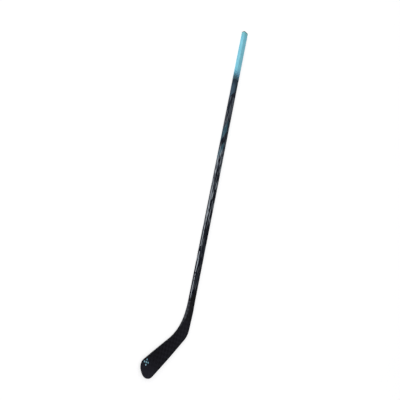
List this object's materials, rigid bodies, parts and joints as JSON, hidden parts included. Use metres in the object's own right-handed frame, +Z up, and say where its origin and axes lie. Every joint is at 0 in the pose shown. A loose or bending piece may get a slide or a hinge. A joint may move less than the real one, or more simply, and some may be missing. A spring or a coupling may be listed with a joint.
{
  "type": "ice hockey stick",
  "caption": "Right-handed composite ice hockey stick: hollow rectangular shaft with a tacky grip sleeve and butt plug, bonded to a curved foam-core blade.",
  "frame": {"origin": "centre of the flat underside of the bare shaft, between the grip and the hosel", "axes": "+X along the shaft from the butt to the blade, -Y towards the toe, +Z up, out of the forehand face"},
  "size_m": [1.7175, 0.2338, 0.0232],
  "materials": {
    "shaft_finish": "satin",
    "grip_skin": "matte",
    "plug_plastic": "matte",
    "hosel_weave": "satin",
    "blade_finish": "matte",
    "raw_carbon": "satin",
    "foam": "matte",
    "glue": "satin",
    "mark_film": "satin"
  },
  "bodies": {
    "root": {"shaft_tube": "shaft_finish", "grip_sleeve": "grip_skin", "butt_plug": "plug_plastic", "plug_glue": "glue", "tenon": "raw_carbon", "tenon_glue": "glue", "hosel_shell": "hosel_weave", "hosel_core": "foam", "blade_forehand_skin": "blade_finish", "blade_backhand_skin": "blade_finish", "blade_edge_rail": "blade_finish", "blade_rib": "raw_carbon", "blade_core_upper": "foam", "blade_core_lower": "foam", "toe_mark": "mark_film"}
  },
  "joints": []
}
